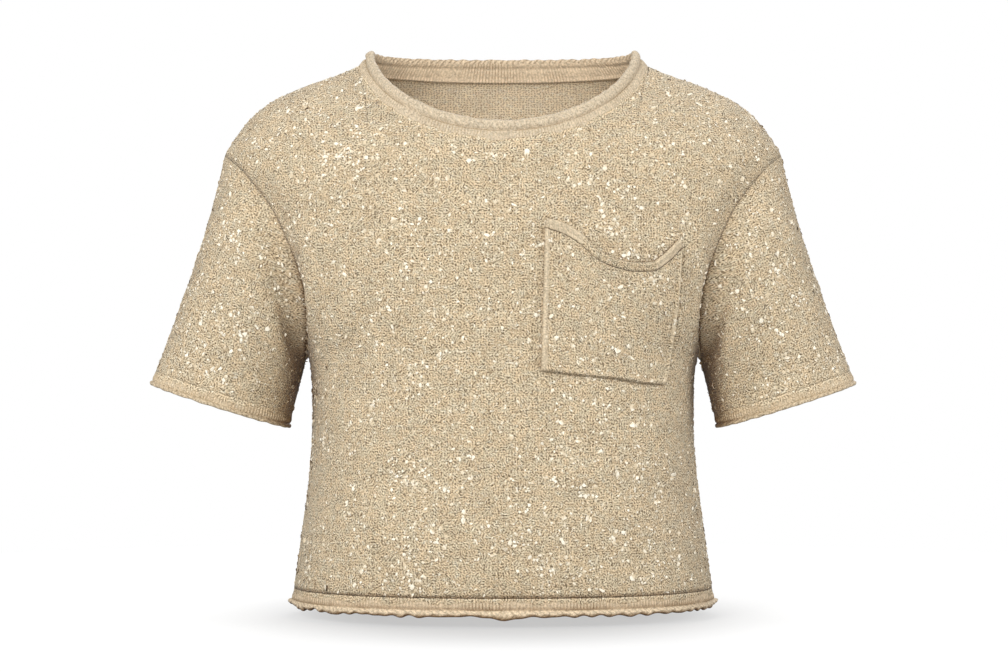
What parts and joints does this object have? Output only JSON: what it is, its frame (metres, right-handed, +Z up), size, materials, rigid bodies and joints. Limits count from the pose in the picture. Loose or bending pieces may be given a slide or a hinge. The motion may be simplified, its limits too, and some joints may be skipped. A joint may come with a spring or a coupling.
{
  "type": "crop top",
  "caption": "Boxy short-sleeved knitted crop top, filled out as worn, with ribbed rolled bands at neck, cuffs and hem and a patch pocket on the chest.",
  "frame": {"origin": "midway between the two high shoulder points, where the wearer's shoulders carry the top", "axes": "+Z up, -Y to the front, +X towards the wearer's left"},
  "size_m": [0.5902, 0.2495, 0.468],
  "materials": {
    "knit": "matte sand-coloured slub knit with small sequins",
    "rib": "matte sand-coloured rib knit with a smooth rolled edge"
  },
  "bodies": {
    "root": {"front": "knit", "back": "knit", "sleeve_left": "knit", "sleeve_right": "knit", "neckband": "rib", "cuff_left": "rib", "cuff_right": "rib", "hem_band": "rib", "pocket": "knit", "pocket_band": "rib"}
  },
  "joints": []
}
